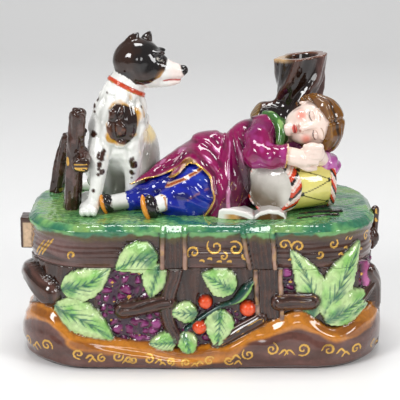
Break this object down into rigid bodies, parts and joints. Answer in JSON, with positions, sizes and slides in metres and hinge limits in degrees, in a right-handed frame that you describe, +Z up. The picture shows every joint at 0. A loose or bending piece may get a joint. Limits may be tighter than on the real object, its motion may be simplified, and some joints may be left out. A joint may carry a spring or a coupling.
{
  "type": "figural lidded box",
  "caption": "Rounded porcelain box of logs, leaves and berries, with a lift-off lid where a dog sits beside a boy asleep on a drum.",
  "frame": {"origin": "centre of the underside, on the surface that the box stands on", "axes": "+Z up, front towards -Y, +X towards the drum end"},
  "size_m": [0.1918, 0.1078, 0.1688],
  "materials": {
    "base_porcelain": "gloss glaze over painted browns, greens and purple, with gilding",
    "lid_porcelain": "gloss glaze over painted enamels, with gilding"
  },
  "bodies": {
    "root": {"box_base": "base_porcelain", "lid": "lid_porcelain"}
  },
  "joints": []
}
